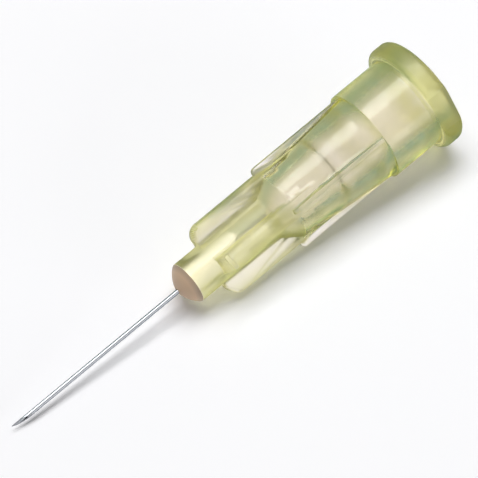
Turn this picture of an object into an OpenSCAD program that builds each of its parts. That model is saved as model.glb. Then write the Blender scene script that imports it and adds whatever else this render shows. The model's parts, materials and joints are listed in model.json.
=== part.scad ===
// Single-use hypodermic needle with a Luer hub, lying on a level surface, in millimetres.
// It rests on the rim of its lock flange and on its two lower front fins.
// The row frame has +Z up, the point towards -X and the socket's mouth towards +X.
// Each piece is drawn along its own axis: z is the distance from the mouth towards the point,
// x is level and square to the axis, and y is up. laid_down() then puts it on the surface.

/* [Luer socket] */
// Diameter of the socket at its mouth
socket_d = 4.3; // [4.2:0.01:4.4]
// Taper of the socket, the change of diameter for each unit of length
socket_taper = 0.06; // [0.04:0.005:0.08]
// Depth of the tapered stretch
socket_depth = 8.8; // [7.5:0.05:9.2]
// Lead-in chamfer round the mouth
mouth_chamfer = 0.12; // [0.04:0.01:0.25]

/* [Lock flange] */
// Diameter over the two lock lugs
lug_d = 7.8; // [7.6:0.01:8]
// Width across the two flats between the lugs
flats_w = 6.7; // [6.6:0.05:7.3]
// Thickness of the flange along the axis
flange_t = 1.54; // [1:0.02:2]
// Edge rounding of the flange
flange_edge = 0.46; // [0.05:0.01:0.48]
// Turn of the flats about the axis, from level
flats_turn = 27.5; // [0:2.5:45]

/* [Collar] */
// Diameter of the collar that the protective cap grips
collar_d = 6.5; // [6.4:0.02:6.6]
// Length of the collar in front of the flange
collar_len = 3.7; // [3:0.05:5]
// Edge rounding at the collar's front
collar_edge = 0.08; // [0.02:0.01:0.15]

/* [Barrel] */
// Diameter of the conical barrel where it leaves the collar
barrel_rear_d = 6.14; // [5.8:0.02:6.2]
// Diameter of the conical barrel where its shoulder starts
barrel_front_d = 4.84; // [4.6:0.02:5.1]
// Length of the conical barrel
barrel_len = 7.35; // [6.5:0.05:9]
// Length of the shoulder between barrel and nose
shoulder_len = 1.45; // [1.2:0.05:2]
// Rounding of the shoulder's outer edge
shoulder_round = 0.6; // [0.3:0.05:0.9]

/* [Nose] */
// Diameter of the nose
nose_d = 2.94; // [2.6:0.02:3.2]
// Length of the nose from the shoulder to its face
nose_len = 6.4; // [5.5:0.1:8]

/* [Fins and ribs] */
// Number of fins, and of ribs in line with them
fin_count = 4; // [4]
// Diameter over the thick front fins
fin_span = 5.2; // [4.8:0.05:5.6]
// Thickness of a front fin
fin_t = 1.1; // [0.8:0.05:1.3]
// Rounding of a front fin's outer corner
fin_corner = 0.8; // [0.3:0.05:0.9]
// Fillet between a front fin and the nose
fin_root = 0.3; // [0.1:0.05:0.4]
// Distance from the nose's face back to the front of the fins
fin_setback = 1.9; // [1:0.1:2.5]
// Diameter over the thin ribs
rib_span = 6.24; // [5.9:0.02:6.3]
// Thickness of a thin rib
rib_t = 0.3; // [0.2:0.02:0.5]
// Length of a rib in front of the barrel's end
rib_reach = 0.25; // [0:0.05:1]
// Rounding of a rib's outer corner
rib_corner = 0.3; // [0.1:0.05:0.5]

/* [Channel] */
// Diameter of the chamber where the socket ends
chamber_rear_d = 3.3; // [3:0.05:3.45]
// Diameter of the chamber's front
chamber_front_d = 2.8; // [2.4:0.05:3]
// Rounding of the chamber's front corner
chamber_round = 0.45; // [0.2:0.05:0.6]
// Distance from the barrel's end back to the chamber's front
chamber_setback = 0.35; // [0.1:0.05:1]
// Diameter of the funnel's small end
funnel_d = 0.6; // [0.5:0.05:0.9]
// Distance from the shoulder's front end back to the funnel's small end
funnel_setback = 0.4; // [0.1:0.05:0.6]
// Length of the close bore behind the glue well
seat_len = 2.35; // [1.5:0.05:3]
// Radial clearance between that bore and the cannula
seat_clearance = 0.01; // [0.005:0.005:0.03]
// Diameter of the glue well
well_d = 1.14; // [0.9:0.02:1.5]
// Length of the cone at the glue well's bottom
well_cone = 0.35; // [0.1:0.05:0.6]

/* [Cannula] */
// Outer diameter of the tube
cannula_od = 0.32; // [0.3:0.01:0.42]
// Wall of the tube
cannula_wall = 0.075; // [0.06:0.005:0.09]
// Length of the cannula in front of the nose's face
exposed_len = 14.8; // [10:0.1:16]
// Angle of the main bevel to the axis
bevel_angle = 11.5; // [10:0.5:18]
// Angle of the two side facets to the axis
facet_angle = 21; // [19:0.5:26]
// Roll of each side facet from the main bevel
facet_roll = 38; // [25:1:50]
// Turn of the bevel about the axis, from level
bevel_turn = 15; // [-45:5:60]

/* [Adhesive] */
// Height of the adhesive bead above the nose's face
bead_h = 0.92; // [0.5:0.02:1.4]
// Fullness of the bead at its crown
bead_crown = 1.7; // [1.4:0.1:2.4]
// Fullness of the bead at its rim
bead_rim = 0.85; // [0.5:0.05:1]

/* [Hidden] */
$fn = 96;

// How far a cut runs past the face it opens in
overshoot = 1;
// Steps of the bead's curve
bead_steps = 14;

// Radii
lug_r = lug_d / 2;
collar_r = collar_d / 2;
nose_r = nose_d / 2;
fin_r = fin_span / 2;
rib_r = rib_span / 2;
cannula_r = cannula_od / 2;
lumen_r = cannula_r - cannula_wall;
seat_r = cannula_r + seat_clearance;
well_r = well_d / 2;

// Stations along the axis, from the mouth
collar_end = flange_t + collar_len;
barrel_end = collar_end + barrel_len;
shoulder_end = barrel_end + shoulder_len;
nose_face = shoulder_end + nose_len;
fin_front = nose_face - fin_setback;
rib_front = barrel_end + rib_reach;
chamber_front = barrel_end - chamber_setback;
seat_rear = shoulder_end - funnel_setback;
seat_front = seat_rear + seat_len;
point_z = nose_face + exposed_len;

// Fins stand midway between level and upright
fin_turn = 180 / fin_count;

// Rest on the surface. The flange's edge and the rounded corners of the two lower fins touch the
// surface together: rest_slope is the root of the tangent condition between their two arcs.
fin_fall = cos(fin_turn);
fin_corner_z = fin_front - fin_corner;
flange_edge_z = flange_t - flange_edge;
rest_run = fin_corner_z - flange_edge_z;
rest_drop = (fin_r - fin_corner) * fin_fall + fin_t / 2 * sin(fin_turn) - lug_r;
rest_square = rest_run * rest_run - fin_corner * fin_corner;
rest_root = fin_corner * sqrt(rest_drop * rest_drop + fin_fall * fin_fall * rest_square);
rest_slope = (-rest_run * rest_drop - rest_root) / rest_square;
rest_tilt = atan(rest_slope);

// The row's origin is on the surface, below the middle of the needle's length
mouth_height = flange_edge_z * sin(rest_tilt) + (lug_r - flange_edge) * cos(rest_tilt) + flange_edge;
rear_reach = (lug_r - flange_edge) * sin(rest_tilt) + flange_edge * (1 - cos(rest_tilt));
front_reach = point_z * cos(rest_tilt);
mouth_x = (front_reach - rear_reach) / 2;

// Radius of the socket's wall at a distance from the mouth
function socket_r(z) = (socket_d - socket_taper * z) / 2;

// Height of the adhesive bead above the nose's face, at a radius
function bead_height(r) = bead_h * pow(max(0, 1 - pow(r / nose_r, bead_crown)), bead_rim);

// Puts a piece drawn along its own axis on the surface, as the whole needle comes to rest
module laid_down() {
    translate([mouth_x, 0, mouth_height])
        rotate([0, -rest_tilt, 0])
            rotate([90, 0, -90])
                children();
}

// Repeats a child at every fin
module at_each_fin() {
    for (i = [0 : fin_count - 1])
        rotate([0, 0, fin_turn + i * 360 / fin_count])
            children();
}

// Rectangle from the axis out to r and from z0 to z1, with its outer corner rounded at z1
module half_section(r, z0, z1, corner) {
    translate([0, z0])
        square([r, z1 - z0 - corner]);
    translate([0, z0])
        square([r - corner, z1 - z0]);
    translate([r - corner, z1 - corner])
        circle(corner);
}

// Slab on one side of the axis with a rounded front corner
module radial_slab(r, z0, z1, thickness, corner) {
    rotate([90, 0, 0])
        linear_extrude(thickness, center = true)
            half_section(r, z0, z1, corner);
}

// Lock flange: a disc with two flats, which leaves two lugs
module lock_flange() {
    intersection() {
        rotate_extrude() {
            half_section(lug_r, flange_t / 2, flange_t, flange_edge);
            translate([0, flange_t])
                mirror([0, 1])
                    half_section(lug_r, flange_t / 2, flange_t, flange_edge);
        }
        rotate([0, 0, flats_turn])
            translate([-flats_w / 2, -lug_d, -overshoot])
                cube([flats_w, 2 * lug_d, flange_t + 2 * overshoot]);
    }
}

// Collar, a true cylinder over the length that the cap grips
module collar() {
    rotate_extrude()
        half_section(collar_r, flange_t / 2, collar_end, collar_edge);
}

// Barrel, shoulder and nose in one turned outline. The shoulder's edge is an arc that starts
// square to the axis direction of the barrel and ends on the shoulder's slope.
module barrel_and_nose() {
    rotate_extrude() {
        difference() {
            polygon([
                [0, flange_t],
                [barrel_rear_d / 2, flange_t],
                [barrel_rear_d / 2, collar_end],
                [barrel_front_d / 2, barrel_end],
                [nose_r, shoulder_end],
                [0, shoulder_end]
            ]);
            shoulder_trim();
        }
        square([nose_r, nose_face]);
    }
}

// Area between the shoulder's corner and the circle that rounds it
module shoulder_trim() {
    barrel_slope = atan2(barrel_rear_d / 2 - barrel_front_d / 2, barrel_len);
    shoulder_slope = atan2(barrel_front_d / 2 - nose_r, shoulder_len);
    half_turn = (shoulder_slope - barrel_slope) / 2;
    tangent_len = shoulder_round * tan(half_turn);
    corner = [barrel_front_d / 2, barrel_end];
    rear_touch = corner + tangent_len * [sin(barrel_slope), -cos(barrel_slope)];
    front_touch = corner + tangent_len * [-sin(shoulder_slope), cos(shoulder_slope)];
    centre = rear_touch - shoulder_round * [cos(barrel_slope), sin(barrel_slope)];
    past_corner = corner + overshoot * [cos(barrel_slope), sin(barrel_slope)];
    difference() {
        polygon([centre, rear_touch, past_corner, front_touch]);
        translate(centre)
            circle(shoulder_round);
    }
}

// Fillets on both sides of one front fin, where it meets the nose
module fin_root_fillets() {
    fillet_x = fin_t / 2 + fin_root;
    fillet_y = sqrt(pow(nose_r + fin_root, 2) - pow(fillet_x, 2));
    rotate([0, 0, -90])
        translate([0, 0, barrel_end])
            linear_extrude(fin_front - barrel_end)
                for (side = [0, 1])
                    mirror([side, 0])
                        difference() {
                            polygon([[0, 0], [0, fillet_y], [fillet_x, fillet_y]]);
                            translate([fillet_x, fillet_y])
                                circle(fin_root);
                        }
}

// The space inside the hub: socket, chamber, funnel, close bore and glue well
module channel() {
    rotate_extrude()
        difference() {
            polygon([
                [0, -overshoot],
                [socket_d / 2 + mouth_chamfer, -overshoot],
                [socket_d / 2 + mouth_chamfer, 0],
                [socket_r(mouth_chamfer), mouth_chamfer],
                [socket_r(socket_depth), socket_depth],
                [chamber_rear_d / 2, socket_depth],
                [chamber_front_d / 2, chamber_front],
                [funnel_d / 2, seat_rear],
                [seat_r, seat_rear],
                [seat_r, seat_front],
                [well_r, seat_front + well_cone],
                [well_r, nose_face + overshoot],
                [0, nose_face + overshoot]
            ]);
            chamber_trim();
        }
}

// Area between the chamber's front corner and the circle that rounds it
module chamber_trim() {
    chamber_len = chamber_front - socket_depth;
    wall_slope = atan2(chamber_rear_d / 2 - chamber_front_d / 2, chamber_len);
    funnel_slope = atan2(chamber_front_d / 2 - funnel_d / 2, seat_rear - chamber_front);
    tangent_len = chamber_round * tan((funnel_slope - wall_slope) / 2);
    corner = [chamber_front_d / 2, chamber_front];
    rear_touch = corner + tangent_len * [sin(wall_slope), -cos(wall_slope)];
    front_touch = corner + tangent_len * [-sin(funnel_slope), cos(funnel_slope)];
    centre = rear_touch - chamber_round * [cos(wall_slope), sin(wall_slope)];
    past_corner = corner + overshoot * [cos(wall_slope), sin(wall_slope)];
    difference() {
        polygon([centre, rear_touch, past_corner, front_touch]);
        translate(centre)
            circle(chamber_round);
    }
}

// Space in front of a ground facet. The facet runs through the point, at an angle to the axis,
// and it is rolled about a line through the point.
module ground_away(angle, roll) {
    reach = 4 * cannula_od / sin(bevel_angle);
    translate([-cannula_r, 0, point_z])
        rotate([0, 0, roll])
            rotate([0, -angle, 0])
                translate([0, -reach, -reach])
                    cube([reach, 2 * reach, 2 * reach]);
}

// Moulded hub, one piece of translucent yellow polypropylene
module hub() {
    color([0.85, 0.85, 0.45, 0.75])
        laid_down()
            difference() {
                union() {
                    lock_flange();
                    collar();
                    barrel_and_nose();
                    at_each_fin() {
                        radial_slab(fin_r, collar_end, fin_front, fin_t, fin_corner);
                        radial_slab(rib_r, flange_t, rib_front, rib_t, rib_corner);
                        fin_root_fillets();
                    }
                }
                channel();
            }
}

// Stainless tube with a main bevel and two side facets ground on its point
module cannula() {
    color([0.76, 0.77, 0.79])
        laid_down()
            rotate([0, 0, bevel_turn])
                difference() {
                    translate([0, 0, seat_rear])
                        cylinder(h = point_z - seat_rear, r = cannula_r);
                    translate([0, 0, seat_rear - overshoot])
                        cylinder(h = point_z - seat_rear + 2 * overshoot, r = lumen_r);
                    ground_away(bevel_angle, 0);
                    ground_away(facet_angle, facet_roll);
                    ground_away(facet_angle, -facet_roll);
                }
}

// Cured adhesive: it fills the well round the cannula and stands on the nose's face as a bead
module adhesive() {
    color([0.66, 0.56, 0.45])
        laid_down()
            rotate_extrude()
                polygon(concat(
                    [
                        [cannula_r, seat_front],
                        [seat_r, seat_front],
                        [well_r, seat_front + well_cone],
                        [well_r, nose_face]
                    ],
                    [
                        for (i = [0 : bead_steps])
                            let (r = nose_r - (nose_r - cannula_r) * i / bead_steps)
                                [r, nose_face + bead_height(r)]
                    ]
                ));
}

hub();
cannula();
adhesive();
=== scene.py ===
"""Looks of a hypodermic needle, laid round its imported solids: hub, cannula and cured adhesive."""

import json
import math

import bmesh
import bpy
from bpy.props import FloatProperty, FloatVectorProperty, IntProperty, PointerProperty
from mathutils import Matrix, Vector


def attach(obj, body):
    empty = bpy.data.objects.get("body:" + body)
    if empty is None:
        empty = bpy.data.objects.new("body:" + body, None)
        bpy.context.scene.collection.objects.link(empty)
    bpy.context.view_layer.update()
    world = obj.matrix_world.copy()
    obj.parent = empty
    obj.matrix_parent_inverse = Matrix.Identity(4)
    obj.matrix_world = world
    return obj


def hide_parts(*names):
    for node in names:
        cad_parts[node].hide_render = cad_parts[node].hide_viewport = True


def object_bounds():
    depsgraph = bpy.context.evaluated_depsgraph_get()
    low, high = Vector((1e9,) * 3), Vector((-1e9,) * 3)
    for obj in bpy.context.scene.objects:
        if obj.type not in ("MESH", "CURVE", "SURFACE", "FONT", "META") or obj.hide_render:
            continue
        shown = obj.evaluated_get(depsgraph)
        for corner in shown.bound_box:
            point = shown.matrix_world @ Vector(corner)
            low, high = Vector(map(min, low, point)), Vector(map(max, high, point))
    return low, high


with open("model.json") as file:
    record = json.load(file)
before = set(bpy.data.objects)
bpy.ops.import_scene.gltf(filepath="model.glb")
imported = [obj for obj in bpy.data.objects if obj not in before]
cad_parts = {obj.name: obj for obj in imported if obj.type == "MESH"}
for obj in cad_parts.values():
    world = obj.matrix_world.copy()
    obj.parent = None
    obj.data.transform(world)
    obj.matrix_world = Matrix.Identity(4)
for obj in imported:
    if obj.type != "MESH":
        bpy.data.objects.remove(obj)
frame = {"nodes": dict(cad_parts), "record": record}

bl_info = {
    "name": "Hypodermic needle",
    "version": (1, 0, 0),
    "blender": (4, 5, 0),
    "location": "View3D > Sidebar > Needle",
    "description": "Dresses the solids of a hypodermic needle with their finishes",
    "category": "Object",
}

MM = 0.001
BODY = "root"


# Frame: the needle's own directions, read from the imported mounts

def mount(name):
    """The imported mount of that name."""
    return next(m for m in frame["record"]["mounts"] if m["name"] == name)


MOUTH = Vector(mount("luer_socket")["pos_m"])
REARWARD = Vector(mount("luer_socket")["axis"]).normalized()
FORWARD = -REARWARD
NEAR = Vector((0.0, -1.0, 0.0))
ABOVE = FORWARD.cross(NEAR).normalized()
CAD_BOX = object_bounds()
LAMP_DISTANCE = 0.5


def needle_matrix():
    """Turns a shape drawn with z from the mouth to the point, x level and y up into the frame."""
    turn = Matrix((NEAR, ABOVE, FORWARD)).transposed().to_4x4()
    return Matrix.Translation(MOUTH) @ turn


def along_needle(co):
    """Distance from the mouth, level offset and upright offset of a point in the frame."""
    offset = co - MOUTH
    return offset.dot(FORWARD), offset.dot(NEAR), offset.dot(ABOVE)


def stretch(node):
    """The node's first and last station along the needle."""
    stations = [along_needle(v.co)[0] for v in frame["nodes"][node].data.vertices]
    return min(stations), max(stations)


def widest(node, low, high):
    """The node's largest radius between two stations."""
    radii = [0.0]
    for v in frame["nodes"][node].data.vertices:
        z, x, y = along_needle(v.co)
        if low <= z <= high:
            radii.append(math.hypot(x, y))
    return max(radii)


HUB_FACE = stretch("hub")[1]
POINT = stretch("cannula")[1]
TUBE_RADIUS = widest("cannula", HUB_FACE, POINT)
BEAD_TOP = stretch("adhesive")[1]
WELL_REAR = stretch("adhesive")[0]
WELL_CONE = 0.35 * MM
WELL_RADIUS = widest("adhesive", WELL_REAR, HUB_FACE - 0.1 * MM)
NOSE_RADIUS = widest("adhesive", HUB_FACE - 0.01 * MM, BEAD_TOP)
FLANGE_THICK = 1.54 * MM
COLLAR_END = FLANGE_THICK + 3.7 * MM
BARREL_REAR_RADIUS = 3.07 * MM
BARREL_FRONT_RADIUS = 2.42 * MM
SHOULDER_END = HUB_FACE - 6.4 * MM
BARREL_END = SHOULDER_END - 1.45 * MM


# Colour and node helpers

def linear(hex_colour, alpha=1.0):
    """Linear colour of an sRGB hex value such as c8c46a."""
    channels = [int(hex_colour[i:i + 2], 16) / 255 for i in (0, 2, 4)]
    channels = [c / 12.92 if c <= 0.04045 else ((c + 0.055) / 1.055) ** 2.4 for c in channels]
    return (*channels, alpha)


def add_node(tree, kind, settings=None, inputs=None, links=None):
    """Adds a node with its settings, its input values and links from sockets of other nodes."""
    node = tree.nodes.new(kind)
    for name, value in (settings or {}).items():
        setattr(node, name, value)
    for name, value in (inputs or {}).items():
        node.inputs[name].default_value = value
    for name, socket in (links or {}).items():
        tree.links.new(socket, node.inputs[name])
    return node


def new_material(name):
    """An empty node material and its output."""
    material = bpy.data.materials.new(name)
    material.use_nodes = True
    material.node_tree.nodes.clear()
    output = material.node_tree.nodes.new("ShaderNodeOutputMaterial")
    return material, material.node_tree, output


def mixed_colour(tree, share, first, second):
    """The colour socket of a mix: the first colour at share 0 and the second at share 1."""
    node = tree.nodes.new("ShaderNodeMix")
    node.data_type = "RGBA"
    slots = {s.identifier: s for s in node.inputs}
    tree.links.new(share, slots["Factor_Float"])
    for name, colour in (("A_Color", first), ("B_Color", second)):
        if isinstance(colour, bpy.types.NodeSocket):
            tree.links.new(colour, slots[name])
        else:
            slots[name].default_value = colour
    return next(s for s in node.outputs if s.identifier == "Result_Color")


def needle_coordinates(tree):
    """Coordinates with Z along the needle, in metres from the mouth, and X and Y square to it."""
    place = needle_matrix().inverted()
    coordinates = add_node(tree, "ShaderNodeTexCoord")
    return add_node(
        tree, "ShaderNodeMapping",
        settings={"vector_type": "POINT"},
        inputs={"Location": place.to_translation(), "Rotation": place.to_euler("XYZ")},
        links={"Vector": coordinates.outputs["Object"]},
    ).outputs["Vector"]


# Properties

class HubFinish(bpy.types.PropertyGroup):
    """How the moulded hub looks."""

    tint: FloatVectorProperty(
        name="Tint", description="Colour that white light takes in a thick stretch of the plastic",
        subtype="COLOR", size=3, min=0, max=1, default=linear("c8c84d")[:3],
    )
    tint_depth: FloatProperty(
        name="Tint depth", description="Thickness of plastic that gives the full tint",
        default=15.0 * MM, min=0.5 * MM, soft_max=20 * MM, unit="LENGTH",
    )
    edge_round: FloatProperty(
        name="Edge rounding", description="Radius on the moulded edges",
        default=0.06 * MM, min=0.01 * MM, soft_max=0.2 * MM, unit="LENGTH",
    )
    skin_roughness: FloatProperty(
        name="Skin roughness", description="Roughness of the polished outside",
        default=0.2, min=0, max=1,
    )
    core_roughness: FloatProperty(
        name="Core roughness", description="Roughness that the core pin leaves inside the socket",
        default=0.5, min=0, max=1,
    )
    skin_clearness: FloatProperty(
        name="Skin clearness", description="Share of the light that passes the polished outside",
        default=1.0, min=0, max=1,
    )
    core_clearness: FloatProperty(
        name="Core clearness", description="Share of the light that passes the matt surface inside the socket",
        default=1.0, min=0, max=1,
    )
    wall_middle_rear: FloatProperty(
        name="Wall middle, rear", description="Radius that parts skin and core along the barrel",
        default=2.25 * MM, unit="LENGTH",
    )
    wall_middle_front: FloatProperty(
        name="Wall middle, front", description="Radius that parts skin and core in the nose",
        default=0.8 * MM, unit="LENGTH",
    )
    matt_roughness: FloatProperty(
        name="Matt roughness", description="Roughness of the finely grained flange and fins",
        default=0.42, min=0, max=1,
    )
    # Painted edge glow: yellow green mixed in where the surface grazes the view, standing in for light the plastic
    # pipes to its edges.
    painted_edge_glow: FloatVectorProperty(
        name="Edge tint", description="Colour that light takes where it passes the plastic at a grazing angle",
        subtype="COLOR", size=3, min=0, max=1, default=linear("e8e07c")[:3],
    )
    flange_tint: FloatVectorProperty(
        name="Flange tint", description="Colour that light takes in the grained flange",
        subtype="COLOR", size=3, min=0, max=1, default=linear("dcd8a6")[:3],
    )
    graze_blend: FloatProperty(
        name="Graze blend", description="How early the surface counts as grazing",
        default=0.35, min=0, max=1,
    )
    haze: FloatVectorProperty(
        name="Haze", description="Colour of the light that scatters back out of the plastic",
        subtype="COLOR", size=3, min=0, max=1, default=linear("fbf5fa")[:3],
    )


class CannulaFinish(bpy.types.PropertyGroup):
    """How the steel tube looks."""

    steel: FloatVectorProperty(
        name="Steel", description="Colour of the polished steel",
        subtype="COLOR", size=3, min=0, max=1, default=linear("989a9e")[:3],
    )


ADHESIVE_SIZES = (
    "Well end", "Well cone", "Well radius", "Tube radius", "Rim radius", "Face", "Bead height",
    "Crown", "Fullness",
)


class AdhesiveFinish(bpy.types.PropertyGroup):
    """How the cured adhesive looks."""

    skin: FloatVectorProperty(
        name="Skin", description="Colour of the cured bead in the open",
        subtype="COLOR", size=3, min=0, max=1, default=linear("dcbc9c")[:3],
    )
    core: FloatVectorProperty(
        name="Core", description="Colour of the adhesive inside the hub's well",
        subtype="COLOR", size=3, min=0, max=1, default=linear("f4f0de")[:3],
    )
    rim: FloatVectorProperty(
        name="Rim", description="Colour of the bead's thin rim",
        subtype="COLOR", size=3, min=0, max=1, default=linear("b29a84")[:3],
    )
    # Painted glow: the adhesive in the well emits its core colour, standing in for light that the clear nose lets in.
    painted_core_glow: FloatProperty(
        name="Core glow", description="Stands for the light that the clear nose lets through to the core",
        default=0.55, min=0, max=1,
    )
    crown: FloatProperty(
        name="Crown", description="Fullness of the bead at its crown", default=1.7, min=1.0, soft_max=3.0,
    )
    fullness: FloatProperty(
        name="Fullness", description="Fullness of the bead at its rim", default=0.85, min=0.3, soft_max=1.5,
    )
    contact: FloatProperty(
        name="Contact", description="How far the adhesive wets into the hub's skin, so that no air shows",
        default=0.01 * MM, min=0, soft_max=0.05 * MM, unit="LENGTH",
    )
    steps: IntProperty(
        name="Steps", description="Rings from the bead's rim to the tube", default=24, min=4, soft_max=64,
    )
    sides: IntProperty(
        name="Sides", description="Faces round the bead", default=128, min=24, soft_max=256,
    )


class StageSettings(bpy.types.PropertyGroup):
    """Camera and light."""

    slope: FloatProperty(
        name="Slope in view", description="Rise of the needle's axis in the picture",
        default=math.radians(39.64), subtype="ANGLE",
    )
    lean: FloatProperty(
        name="Lean", description="How far the view turns from square towards the point",
        default=math.radians(15.5), subtype="ANGLE",
    )
    climb: FloatProperty(
        name="Climb", description="Rise of the view round the needle, above the near side",
        default=math.radians(62.5), subtype="ANGLE",
    )
    distance: FloatProperty(
        name="Distance", description="From the camera to the needle", default=0.4, unit="LENGTH",
    )
    centre_station: FloatProperty(
        name="Centre station", description="Where along the needle the view is centred",
        default=16.0 * MM, unit="LENGTH",
    )
    centre_rise: FloatProperty(
        name="Centre rise", description="How far above the axis, in the picture, the view is centred",
        default=0.083 * MM, unit="LENGTH",
    )
    shown_width: FloatProperty(
        name="Shown width", description="Width of the picture at the needle",
        default=478 / 15.69 * MM, unit="LENGTH",
    )
    key_power: FloatProperty(
        name="Key power", description="Power of the soft lamp over the needle", default=2.35, unit="POWER",
    )
    key_length: FloatProperty(
        name="Key length", description="Length of the key lamp", default=0.5, unit="LENGTH",
    )
    key_width: FloatProperty(
        name="Key width", description="Width of the key lamp", default=0.26, unit="LENGTH",
    )
    key_tilt: FloatProperty(
        name="Key tilt", description="Tilt of the wall that reflects the key lamp to the camera",
        default=math.radians(19), subtype="ANGLE",
    )
    near_power: FloatProperty(
        name="Near power", description="Power of the low lamp on the near side", default=0.5, unit="POWER",
    )
    near_length: FloatProperty(
        name="Near length", description="Length of the near lamp", default=0.4, unit="LENGTH",
    )
    near_width: FloatProperty(
        name="Near width", description="Width of the near lamp", default=0.16, unit="LENGTH",
    )
    near_tilt: FloatProperty(
        name="Near tilt", description="Tilt of the wall that reflects the near lamp to the camera",
        default=math.radians(-26), subtype="ANGLE",
    )
    fill: FloatProperty(
        name="Fill", description="Strength of the room's light on the object", default=0.12, min=0, max=1,
    )
    table_glow: FloatProperty(
        name="Table glow", description="What lifts the lit table to white for the camera",
        default=0.08, min=0, max=1,
    )
    even_share: FloatProperty(
        name="Even share", description="How far clear plastic shows the table as evenly white",
        default=0.6, min=0, max=1,
    )


# Hub

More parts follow.
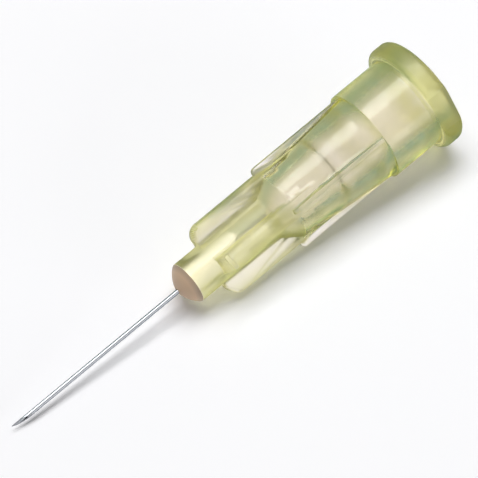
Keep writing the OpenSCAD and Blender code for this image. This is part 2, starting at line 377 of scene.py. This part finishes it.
def hub_plastic(finish):
    """Injection-moulded polypropylene with a yellow dye. It is clear enough to show the channel
    inside, slightly hazy, and it deepens to yellow green where light goes through more of it.
    A painted edge glow adds more yellow green where its surface grazes the view."""
    material, tree, output = new_material("moulded_translucent_polypropylene")
    place = needle_coordinates(tree)
    ripple = add_node(
        tree, "ShaderNodeTexNoise",
        inputs={"Scale": 1 / (0.6 * MM), "Detail": 3.0, "Roughness": 0.55},
        links={"Vector": place},
    )
    split = add_node(tree, "ShaderNodeSeparateXYZ", links={"Vector": place})
    flat = add_node(
        tree, "ShaderNodeCombineXYZ", links={"X": split.outputs["X"], "Y": split.outputs["Y"]},
    )
    radius = add_node(
        tree, "ShaderNodeVectorMath", settings={"operation": "LENGTH"},
        links={"Vector": flat.outputs["Vector"]},
    )
    wall = add_node(
        tree, "ShaderNodeMapRange",
        inputs={
            "From Min": BARREL_END, "From Max": SHOULDER_END,
            "To Min": finish.wall_middle_rear, "To Max": finish.wall_middle_front,
        },
        links={"Value": split.outputs["Z"]},
    )
    outward = add_node(tree, "ShaderNodeMath", settings={"operation": "SUBTRACT"})
    tree.links.new(radius.outputs["Value"], outward.inputs[0])
    tree.links.new(wall.outputs["Result"], outward.inputs[1])
    skin = add_node(
        tree, "ShaderNodeMapRange",
        inputs={
            "From Min": -0.05 * MM, "From Max": 0.05 * MM,
            "To Min": finish.core_roughness, "To Max": finish.skin_roughness,
        },
        links={"Value": outward.outputs["Value"]},
    )
    clear = add_node(
        tree, "ShaderNodeMapRange",
        inputs={
            "From Min": -0.05 * MM, "From Max": 0.05 * MM,
            "To Min": finish.core_clearness, "To Max": finish.skin_clearness,
        },
        links={"Value": outward.outputs["Value"]},
    )
    rim = add_node(
        tree, "ShaderNodeMapRange",
        inputs={"From Min": FLANGE_THICK - 0.05 * MM, "From Max": FLANGE_THICK, "To Min": 1.0, "To Max": 0.0},
        links={"Value": split.outputs["Z"]},
    )
    # Painted edge glow: where the surface grazes the view, the plastic's colour turns to the edge glow colour.
    graze = add_node(tree, "ShaderNodeLayerWeight", inputs={"Blend": finish.graze_blend})
    haze_with_edge_glow = mixed_colour(tree, graze.outputs["Facing"], (*finish.haze, 1.0), (*finish.painted_edge_glow, 1.0))
    haze = mixed_colour(tree, rim.outputs["Result"], haze_with_edge_glow, (*finish.flange_tint, 1.0))
    fin = add_node(
        tree, "ShaderNodeMapRange",
        inputs={"From Min": NOSE_RADIUS - 0.15 * MM, "From Max": NOSE_RADIUS - 0.05 * MM},
        links={"Value": radius.outputs["Value"]},
    )
    front = add_node(
        tree, "ShaderNodeMapRange",
        inputs={"From Min": BARREL_END - 0.2 * MM, "From Max": BARREL_END},
        links={"Value": split.outputs["Z"]},
    )
    fins = add_node(
        tree, "ShaderNodeMath", settings={"operation": "MULTIPLY"},
        links={0: fin.outputs["Result"], 1: front.outputs["Result"]},
    )
    barrel = add_node(
        tree, "ShaderNodeMapRange",
        inputs={
            "From Min": COLLAR_END, "From Max": BARREL_END,
            "To Min": BARREL_REAR_RADIUS, "To Max": BARREL_FRONT_RADIUS,
        },
        links={"Value": split.outputs["Z"]},
    )
    above = add_node(
        tree, "ShaderNodeMath", settings={"operation": "SUBTRACT"},
        links={0: radius.outputs["Value"], 1: barrel.outputs["Result"]},
    )
    standing = add_node(
        tree, "ShaderNodeMapRange", inputs={"From Min": 0.06 * MM, "From Max": 0.12 * MM},
        links={"Value": above.outputs["Value"]},
    )
    past_collar = add_node(
        tree, "ShaderNodeMapRange",
        inputs={"From Min": COLLAR_END + 0.05 * MM, "From Max": COLLAR_END + 0.1 * MM},
        links={"Value": split.outputs["Z"]},
    )
    ribs = add_node(
        tree, "ShaderNodeMath", settings={"operation": "MULTIPLY"},
        links={0: standing.outputs["Result"], 1: past_collar.outputs["Result"]},
    )
    raised = add_node(
        tree, "ShaderNodeMath", settings={"operation": "MAXIMUM"},
        links={0: fins.outputs["Value"], 1: ribs.outputs["Value"]},
    )
    matt = add_node(
        tree, "ShaderNodeMath", settings={"operation": "MAXIMUM"},
        links={0: raised.outputs["Value"], 1: rim.outputs["Result"]},
    )
    grained = add_node(
        tree, "ShaderNodeMapRange", inputs={"To Max": finish.matt_roughness},
        links={"Value": matt.outputs["Value"]},
    )
    uneven = add_node(
        tree, "ShaderNodeMapRange",
        inputs={"From Min": 0.3, "From Max": 0.7, "To Min": 0.75, "To Max": 1.25},
        links={"Value": ripple.outputs["Fac"]},
    )
    rougher = add_node(
        tree, "ShaderNodeMath", settings={"operation": "MAXIMUM"},
        links={0: skin.outputs["Result"], 1: grained.outputs["Result"]},
    )
    roughness = add_node(
        tree, "ShaderNodeMath", settings={"operation": "MULTIPLY"},
        links={0: rougher.outputs["Value"], 1: uneven.outputs["Result"]},
    )
    bump = add_node(
        tree, "ShaderNodeBump",
        inputs={"Strength": 0.15, "Distance": 0.01 * MM},
        links={"Height": ripple.outputs["Fac"]},
    )
    surface = add_node(
        tree, "ShaderNodeBsdfPrincipled",
        inputs={
            "IOR": 1.49,
        },
        links={
            "Base Color": haze,
            "Roughness": roughness.outputs["Value"],
            "Normal": bump.outputs["Normal"],
            "Transmission Weight": clear.outputs["Result"],
        },
    )
    tint = finish.tint
    depth = finish.tint_depth
    taken = [-math.log(max(c, 0.01)) / depth for c in tint]
    density = max(taken) * 1.2
    inside = add_node(
        tree, "ShaderNodeVolumeAbsorption",
        inputs={"Color": (*[1 - t / density for t in taken], 1.0), "Density": density},
    )
    tree.links.new(surface.outputs["BSDF"], output.inputs["Surface"])
    tree.links.new(inside.outputs["Volume"], output.inputs["Volume"])
    return material


def merged_copy(node, name):
    """A copy of a node's mesh with its doubles merged."""
    mesh = frame["nodes"][node].data.copy()
    mesh.name = name
    piece = bpy.data.objects.new(name, mesh)
    bpy.context.scene.collection.objects.link(piece)
    shape = bmesh.new()
    shape.from_mesh(mesh)
    bmesh.ops.remove_doubles(shape, verts=shape.verts, dist=0.0005 * MM)
    bmesh.ops.dissolve_degenerate(shape, edges=shape.edges, dist=0.0005 * MM)
    shape.to_mesh(mesh)
    shape.free()
    return piece


def weigh_normals(piece):
    """Lets each corner's normal follow its large faces, so that a long wall stays straight up to its round."""
    weigh = piece.modifiers.new("weighted_normals", "WEIGHTED_NORMAL")
    weigh.mode = "FACE_AREA"
    weigh.weight = 90
    weigh.keep_sharp = True


class NEEDLE_OT_mould_hub(bpy.types.Operator):
    """Smooths the hub's rounds, keeps its edges crisp and gives it its plastic"""

    bl_idname = "needle.mould_hub"
    bl_label = "Mould hub"

    def execute(self, context):
        finish = context.scene.needle_hub
        hub = merged_copy("hub", "moulded_hub")
        hub.data.materials.clear()
        hub.data.materials.append(hub_plastic(finish))
        hub.data.shade_smooth()
        hub.data.set_sharp_from_angle(angle=math.radians(30))
        weigh_normals(hub)
        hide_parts("hub")
        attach(hub, BODY)
        return {"FINISHED"}


# Cannula

def cannula_steel(finish):
    """Drawn and electropolished stainless tube: bright metal with faint lines along its length."""
    material, tree, output = new_material("electropolished_stainless_tube")
    place = needle_coordinates(tree)
    drawn = add_node(
        tree, "ShaderNodeMapping",
        inputs={"Scale": (1 / (0.03 * MM), 1 / (0.03 * MM), 1 / (2.5 * MM))},
        links={"Vector": place},
    )
    lines = add_node(
        tree, "ShaderNodeTexNoise",
        inputs={"Scale": 1.0, "Detail": 2.0},
        links={"Vector": drawn.outputs["Vector"]},
    )
    roughness = add_node(
        tree, "ShaderNodeMapRange",
        inputs={"From Min": 0.3, "From Max": 0.7, "To Min": 0.1, "To Max": 0.22},
        links={"Value": lines.outputs["Fac"]},
    )
    surface = add_node(
        tree, "ShaderNodeBsdfPrincipled",
        inputs={"Base Color": (*finish.steel, 1.0), "Metallic": 1.0},
        links={"Roughness": roughness.outputs["Result"]},
    )
    tree.links.new(surface.outputs["BSDF"], output.inputs["Surface"])
    return material


class NEEDLE_OT_finish_cannula(bpy.types.Operator):
    """Smooths the tube round its girth, keeps the ground facets crisp and gives it its steel"""

    bl_idname = "needle.finish_cannula"
    bl_label = "Finish cannula"

    def execute(self, context):
        finish = context.scene.needle_cannula
        tube = merged_copy("cannula", "drawn_tube")
        tube.data.materials.clear()
        tube.data.materials.append(cannula_steel(finish))
        tube.data.shade_smooth()
        tube.data.set_sharp_from_angle(angle=math.radians(9))
        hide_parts("cannula")
        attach(tube, BODY)
        return {"FINISHED"}


# Adhesive

def cured_adhesive(finish):
    """Heat-cured epoxy: a tan, satin skin on the bead that greys to its rim, and a pale core that
    shows through the hub's nose. The core also glows in its own colour, a painted glow that stands
    in for the light the clear nose lets through."""
    material, tree, output = new_material("cured_tan_epoxy")
    place = needle_coordinates(tree)
    split = add_node(tree, "ShaderNodeSeparateXYZ", links={"Vector": place})
    cloud = add_node(
        tree, "ShaderNodeTexNoise",
        inputs={"Scale": 1 / (0.5 * MM), "Detail": 2.0}, links={"Vector": place},
    )
    flat = add_node(
        tree, "ShaderNodeCombineXYZ", links={"X": split.outputs["X"], "Y": split.outputs["Y"]},
    )
    radius = add_node(
        tree, "ShaderNodeVectorMath", settings={"operation": "LENGTH"},
        links={"Vector": flat.outputs["Vector"]},
    )
    edge = add_node(
        tree, "ShaderNodeMapRange",
        inputs={"From Min": 0.8 * NOSE_RADIUS, "From Max": NOSE_RADIUS},
        links={"Value": radius.outputs["Value"]},
    )
    bead = mixed_colour(tree, edge.outputs["Result"], (*finish.skin, 1.0), (*finish.rim, 1.0))
    depth = add_node(
        tree, "ShaderNodeMapRange",
        inputs={"From Min": HUB_FACE - finish.contact / 2, "From Max": HUB_FACE + finish.contact},
        links={"Value": split.outputs["Z"]},
    )
    colour = mixed_colour(tree, depth.outputs["Result"], (*finish.core, 1.0), bead)
    satin = add_node(
        tree, "ShaderNodeMapRange",
        inputs={"From Min": 0.3, "From Max": 0.7, "To Min": 0.36, "To Max": 0.5},
        links={"Value": cloud.outputs["Fac"]},
    )
    # Painted glow: below the hub's face the adhesive emits its core colour, in place of the light the clear nose lets
    # through.
    lit = add_node(
        tree, "ShaderNodeMapRange", inputs={"To Min": finish.painted_core_glow, "To Max": 0.0},
        links={"Value": depth.outputs["Result"]},
    )
    surface = add_node(
        tree, "ShaderNodeBsdfPrincipled", inputs={"IOR": 1.5, "Emission Color": (*finish.core, 1.0)},
        links={
            "Base Color": colour,
            "Roughness": satin.outputs["Result"],
            "Emission Strength": lit.outputs["Result"],
        },
    )
    tree.links.new(surface.outputs["BSDF"], output.inputs["Surface"])
    return material


def adhesive_tree(material):
    """Geometry nodes for a ring that is turned round a profile: the plug in the well, then the bead,
    whose height falls from the tube to the rim as bead height times (1 - (r / rim) ^ crown) ^ fullness."""
    tree = bpy.data.node_groups.new("turned_adhesive", "GeometryNodeTree")
    tree.is_modifier = True
    face = tree.interface
    for name in ADHESIVE_SIZES:
        face.new_socket(name=name, in_out="INPUT", socket_type="NodeSocketFloat")
    for name in ("Steps", "Sides"):
        face.new_socket(name=name, in_out="INPUT", socket_type="NodeSocketInt")
    face.new_socket(name="Geometry", in_out="OUTPUT", socket_type="NodeSocketGeometry")
    sizes = tree.nodes.new("NodeGroupInput").outputs
    result = tree.nodes.new("NodeGroupOutput")

    def math_node(operation, first, second=None):
        node = tree.nodes.new("ShaderNodeMath")
        node.operation = operation
        for slot, value in zip(node.inputs, (first, second)):
            if isinstance(value, bpy.types.NodeSocket):
                tree.links.new(value, slot)
            elif value is not None:
                slot.default_value = value
        return node.outputs["Value"]

    def pick(index, values):
        node = tree.nodes.new("GeometryNodeIndexSwitch")
        node.data_type = "FLOAT"
        while len(node.index_switch_items) < len(values):
            node.index_switch_items.new()
        tree.links.new(index, node.inputs["Index"])
        for slot, value in zip(list(node.inputs)[1:], values):
            tree.links.new(value, slot)
        return node.outputs["Output"]

    rows = math_node("ADD", sizes["Steps"], 5)
    columns = math_node("ADD", sizes["Sides"], 1)
    grid = add_node(
        tree, "GeometryNodeMeshGrid", inputs={"Size X": 1.0, "Size Y": 1.0},
        links={"Vertices X": columns, "Vertices Y": rows},
    )
    place = add_node(
        tree, "ShaderNodeSeparateXYZ",
        links={"Vector": tree.nodes.new("GeometryNodeInputPosition").outputs["Position"]},
    )
    angle = math_node("MULTIPLY", math_node("ADD", place.outputs["X"], 0.5), math.tau)
    row = math_node(
        "ROUND", math_node("MULTIPLY", math_node("ADD", place.outputs["Y"], 0.5), math_node("SUBTRACT", rows, 1)),
    )
    share = math_node(
        "MINIMUM", math_node("MAXIMUM", math_node("DIVIDE", math_node("SUBTRACT", row, 3), sizes["Steps"]), 0), 1,
    )
    narrowing = math_node("MULTIPLY", math_node("SUBTRACT", sizes["Rim radius"], sizes["Tube radius"]), share)
    bead_radius = math_node("SUBTRACT", sizes["Rim radius"], narrowing)
    fall = math_node("POWER", math_node("DIVIDE", bead_radius, sizes["Rim radius"]), sizes["Crown"])
    rise = math_node("POWER", math_node("MAXIMUM", math_node("SUBTRACT", 1, fall), 0), sizes["Fullness"])
    bead_station = math_node("ADD", sizes["Face"], math_node("MULTIPLY", sizes["Bead height"], rise))
    cone_end = math_node("ADD", sizes["Well end"], sizes["Well cone"])
    last = math_node("GREATER_THAN", row, math_node("ADD", sizes["Steps"], 3.5))
    part = math_node("ADD", math_node("MINIMUM", row, 3), last)
    radius = pick(
        part, [sizes["Tube radius"], sizes["Well radius"], sizes["Well radius"], bead_radius, sizes["Tube radius"]],
    )
    station = pick(part, [sizes["Well end"], cone_end, sizes["Face"], bead_station, sizes["Well end"]])
    point = add_node(
        tree, "ShaderNodeCombineXYZ",
        links={
            "X": math_node("MULTIPLY", radius, math_node("COSINE", angle)),
            "Y": math_node("MULTIPLY", radius, math_node("SINE", angle)),
            "Z": station,
        },
    )
    turned = add_node(
        tree, "GeometryNodeSetPosition",
        links={"Geometry": grid.outputs["Mesh"], "Position": point.outputs["Vector"]},
    )
    closed = add_node(
        tree, "GeometryNodeMergeByDistance", inputs={"Distance": 0.001 * MM},
        links={"Geometry": turned.outputs["Geometry"]},
    )
    real = add_node(tree, "GeometryNodeRealizeInstances", links={"Geometry": closed.outputs["Geometry"]})
    dressed = add_node(
        tree, "GeometryNodeSetMaterial", inputs={"Material": material},
        links={"Geometry": real.outputs["Geometry"]},
    )
    tree.links.new(dressed.outputs["Geometry"], result.inputs["Geometry"])
    return tree


def settled(name, tree, values):
    """A plain mesh object in the frame, made by a tree of geometry nodes with these input values."""
    carrier = bpy.data.objects.new(name + "_carrier", bpy.data.meshes.new(name + "_carrier"))
    bpy.context.scene.collection.objects.link(carrier)
    nodes = carrier.modifiers.new("nodes", "NODES")
    nodes.node_group = tree
    for item in tree.interface.items_tree:
        if item.in_out == "INPUT":
            nodes[item.identifier] = values[item.name]
    carrier.update_tag()
    graph = bpy.context.evaluated_depsgraph_get()
    mesh = bpy.data.meshes.new_from_object(carrier.evaluated_get(graph))
    bpy.data.objects.remove(carrier)
    mesh.name = name
    mesh.transform(needle_matrix())
    shape = bmesh.new()
    shape.from_mesh(mesh)
    bmesh.ops.recalc_face_normals(shape, faces=shape.faces)
    shape.to_mesh(mesh)
    shape.free()
    piece = bpy.data.objects.new(name, mesh)
    bpy.context.scene.collection.objects.link(piece)
    return piece


class NEEDLE_OT_cure_adhesive(bpy.types.Operator):
    """Turns the plug and the bead, and gives them their colours"""

    bl_idname = "needle.cure_adhesive"
    bl_label = "Cure adhesive"

    def execute(self, context):
        finish = context.scene.needle_adhesive
        tree = adhesive_tree(cured_adhesive(finish))
        plug = settled("turned_adhesive", tree, {
            "Well end": WELL_REAR,
            "Well cone": WELL_CONE,
            "Well radius": WELL_RADIUS + finish.contact,
            "Tube radius": TUBE_RADIUS,
            "Rim radius": NOSE_RADIUS,
            "Face": HUB_FACE - finish.contact,
            "Bead height": BEAD_TOP - HUB_FACE,
            "Crown": finish.crown,
            "Fullness": finish.fullness,
            "Steps": finish.steps,
            "Sides": finish.sides,
        })
        plug.data.shade_smooth()
        plug.data.set_sharp_from_angle(angle=math.radians(40))
        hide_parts("adhesive")
        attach(plug, BODY)
        return {"FINISHED"}


# Stage

def view_directions(stage):
    """Unit vectors from the needle to the camera, and right and up in the picture."""
    square = NEAR * math.cos(stage.climb) + ABOVE * math.sin(stage.climb)
    to_camera = FORWARD * math.sin(stage.lean) + square * math.cos(stage.lean)
    rising = (REARWARD - to_camera * REARWARD.dot(to_camera)).normalized()
    across = to_camera.cross(rising)
    right = rising * math.cos(stage.slope) - across * math.sin(stage.slope)
    up = rising * math.sin(stage.slope) + across * math.cos(stage.slope)
    return to_camera, right, up, across


def place_camera(stage):
    """A long lens at the photograph's viewing angle."""
    to_camera, right, up, across = view_directions(stage)
    target = MOUTH + FORWARD * stage.centre_station + across * stage.centre_rise
    lens = bpy.data.cameras.new("long_lens")
    lens.sensor_width = 36.0
    lens.lens = lens.sensor_width * stage.distance / stage.shown_width
    lens.clip_start = 0.01
    lens.clip_end = 10.0
    camera = bpy.data.objects.new("camera", lens)
    turn = Matrix((right, up, to_camera)).transposed().to_4x4()
    camera.matrix_world = Matrix.Translation(target + to_camera * stage.distance) @ turn
    bpy.context.scene.collection.objects.link(camera)
    bpy.context.scene.camera = camera


def strip_lamp(name, centre, direction, length, width, power):
    """A long soft lamp that lies along the needle, so that round walls show it as a bright band."""
    light = bpy.data.lights.new(name, "AREA")
    light.shape = "RECTANGLE"
    light.size = length
    light.size_y = width
    light.energy = power
    back = direction.normalized()
    along = (FORWARD - back * FORWARD.dot(back)).normalized()
    holder = bpy.data.objects.new(name, light)
    turn = Matrix((along, back.cross(along), back)).transposed().to_4x4()
    holder.matrix_world = Matrix.Translation(centre + back * LAMP_DISTANCE) @ turn
    bpy.context.scene.collection.objects.link(holder)
    return holder


def mirrored_view(stage, tilt):
    """Where the view goes after the collar's wall reflects it, at this tilt of the wall upward in view."""
    to_camera, right, up, across = view_directions(stage)
    square = (to_camera - FORWARD * to_camera.dot(FORWARD)).normalized()
    normal = square * math.cos(tilt) + across * math.sin(tilt)
    return 2 * to_camera.dot(normal) * normal - to_camera


def seen_by(tree, kinds):
    """One for rays of these kinds that met no matt surface before, and zero for the rest."""
    path = add_node(tree, "ShaderNodeLightPath")
    seen = path.outputs[kinds[0]]
    for kind in kinds[1:]:
        seen = add_node(
            tree, "ShaderNodeMath", settings={"operation": "MAXIMUM"},
            links={0: seen, 1: path.outputs[kind]},
        ).outputs["Value"]
    first = add_node(
        tree, "ShaderNodeMath", settings={"operation": "LESS_THAN"},
        inputs={1: 0.5}, links={0: path.outputs["Diffuse Depth"]},
    )
    return add_node(
        tree, "ShaderNodeMath", settings={"operation": "MULTIPLY"},
        links={0: seen, 1: first.outputs["Value"]},
    ).outputs["Value"]


def lay_floor(stage):
    """A plain white table that keeps the needle's shadow. Clear plastic shows its shadow fainter."""
    centre = (CAD_BOX[0] + CAD_BOX[1]) / 2
    half = 0.6
    mesh = bpy.data.meshes.new("table")
    corners = [(-half, -half), (half, -half), (half, half), (-half, half)]
    height = CAD_BOX[0].z - 0.01 * MM
    mesh.from_pydata([(centre.x + x, centre.y + y, height) for x, y in corners], [], [(0, 1, 2, 3)])
    table = bpy.data.objects.new("table", mesh)
    bpy.context.scene.collection.objects.link(table)
    material, tree, output = new_material("matt_white_table")
    matt = add_node(tree, "ShaderNodeBsdfDiffuse", inputs={"Color": linear("fcfcfe")})
    glow = add_node(
        tree, "ShaderNodeMath", settings={"operation": "MULTIPLY"},
        inputs={1: stage.table_glow}, links={0: seen_by(tree, ("Is Camera Ray", "Is Glossy Ray"))},
    )
    lift = add_node(tree, "ShaderNodeEmission", links={"Strength": glow.outputs["Value"]})
    table_light = add_node(
        tree, "ShaderNodeAddShader",
        links={0: matt.outputs["BSDF"], 1: lift.outputs["Emission"]},
    )
    even = add_node(tree, "ShaderNodeEmission", inputs={"Strength": 1.25})
    through = add_node(
        tree, "ShaderNodeMath", settings={"operation": "MULTIPLY"},
        inputs={1: stage.even_share}, links={0: seen_by(tree, ("Is Transmission Ray",))},
    )
    both = add_node(
        tree, "ShaderNodeMixShader",
        links={0: through.outputs["Value"], 1: table_light.outputs["Shader"], 2: even.outputs["Emission"]},
    )
    tree.links.new(both.outputs["Shader"], output.inputs["Surface"])
    mesh.materials.append(material)


def place_glowing_card(name, place, along, upward, length, height, colour):
    """A glowing card beside the needle that only gloss and clear plastic see. Standing, it is a studio
    flag that gives them edges; lying on the table, it is a painted shadow.
    """
    mesh = bpy.data.meshes.new(name)
    corners = [(-1, 0), (1, 0), (1, 1), (-1, 1)]
    mesh.from_pydata([place + along * (u * length / 2) + upward * (v * height) for u, v in corners], [], [(0, 1, 2, 3)])
    card = bpy.data.objects.new(name, mesh)
    bpy.context.scene.collection.objects.link(card)
    material, tree, output = new_material("glowing_card")
    glow = add_node(tree, "ShaderNodeEmission", inputs={"Color": linear(colour)})
    tree.links.new(glow.outputs["Emission"], output.inputs["Surface"])
    mesh.materials.append(material)
    card.visible_camera = False
    card.visible_diffuse = False
    card.visible_shadow = False


def light_the_air(stage):
    """A white room: white to the camera and in gloss, and plain fill light on the rest."""
    world = bpy.data.worlds.new("white_room")
    world.use_nodes = True
    tree = world.node_tree
    tree.nodes.clear()
    output = tree.nodes.new("ShaderNodeOutputWorld")
    strength = add_node(
        tree, "ShaderNodeMapRange",
        inputs={"To Min": stage.fill, "To Max": 1.0},
        links={"Value": seen_by(tree, ("Is Camera Ray", "Is Glossy Ray", "Is Transmission Ray"))},
    )
    background = add_node(
        tree, "ShaderNodeBackground",
        inputs={"Color": (1, 1, 1, 1)},
        links={"Strength": strength.outputs["Result"]},
    )
    tree.links.new(background.outputs["Background"], output.inputs["Surface"])
    bpy.context.scene.world = world


class NEEDLE_OT_set_stage(bpy.types.Operator):
    """Lays the table, hangs the lamps and places the camera"""

    bl_idname = "needle.set_stage"
    bl_label = "Set stage"

    def execute(self, context):
        stage = context.scene.needle_stage
        place_camera(stage)
        lay_floor(stage)
        light_the_air(stage)
        place_glowing_card(
            "far_flag", Vector((6.0 * MM, 5.5 * MM, 0.0)), Vector((1, 0, 0)), Vector((0, 0, 1)),
            60.0 * MM, 10.0 * MM, "a4c0b8",
        )
        # Painted shadow: this card lies flat on the table where the needle's shadow falls, a blue-green grey that only
        # gloss and clear plastic see.
        place_glowing_card(
            "near_painted_shadow", Vector((6.0 * MM, -3.0 * MM, 0.0)), Vector((1, 0, 0)), Vector((0, -1, 0)),
            60.0 * MM, 9.0 * MM, "7cb0bc",
        )
        centre = MOUTH + FORWARD * stage.centre_station
        strip_lamp(
            "far_key", centre, mirrored_view(stage, stage.key_tilt),
            stage.key_length, stage.key_width, stage.key_power,
        )
        strip_lamp(
            "near_strip", centre, mirrored_view(stage, stage.near_tilt),
            stage.near_length, stage.near_width, stage.near_power,
        )
        context.scene.view_settings.view_transform = "Standard"
        return {"FINISHED"}


class NEEDLE_PT_sidebar(bpy.types.Panel):
    """Lists the needle's finishes and the steps that make them"""

    bl_idname = "NEEDLE_PT_sidebar"
    bl_label = "Hypodermic needle"
    bl_space_type = "VIEW_3D"
    bl_region_type = "UI"
    bl_category = "Needle"

    def draw(self, context):
        for group, operator in STEPS:
            box = self.layout.box()
            settings = getattr(context.scene, group)
            for name in settings.__annotations__:
                box.prop(settings, name)
            box.operator(operator)


SETTINGS = {
    "needle_hub": HubFinish,
    "needle_cannula": CannulaFinish,
    "needle_adhesive": AdhesiveFinish,
    "needle_stage": StageSettings,
}
STEPS = [
    ("needle_hub", "needle.mould_hub"),
    ("needle_cannula", "needle.finish_cannula"),
    ("needle_adhesive", "needle.cure_adhesive"),
    ("needle_stage", "needle.set_stage"),
]
CLASSES = [
    *SETTINGS.values(),
    NEEDLE_OT_mould_hub,
    NEEDLE_OT_finish_cannula,
    NEEDLE_OT_cure_adhesive,
    NEEDLE_OT_set_stage,
    NEEDLE_PT_sidebar,
]


def register():
    for cls in CLASSES:
        bpy.utils.register_class(cls)
    for name, settings in SETTINGS.items():
        setattr(bpy.types.Scene, name, PointerProperty(type=settings))


def unregister():
    for name in SETTINGS:
        delattr(bpy.types.Scene, name)
    for cls in reversed(CLASSES):
        bpy.utils.unregister_class(cls)


def main():
    register()
    bpy.ops.needle.mould_hub()
    bpy.ops.needle.finish_cannula()
    bpy.ops.needle.cure_adhesive()
    bpy.ops.needle.set_stage()


if __name__ == "__main__":
    main()
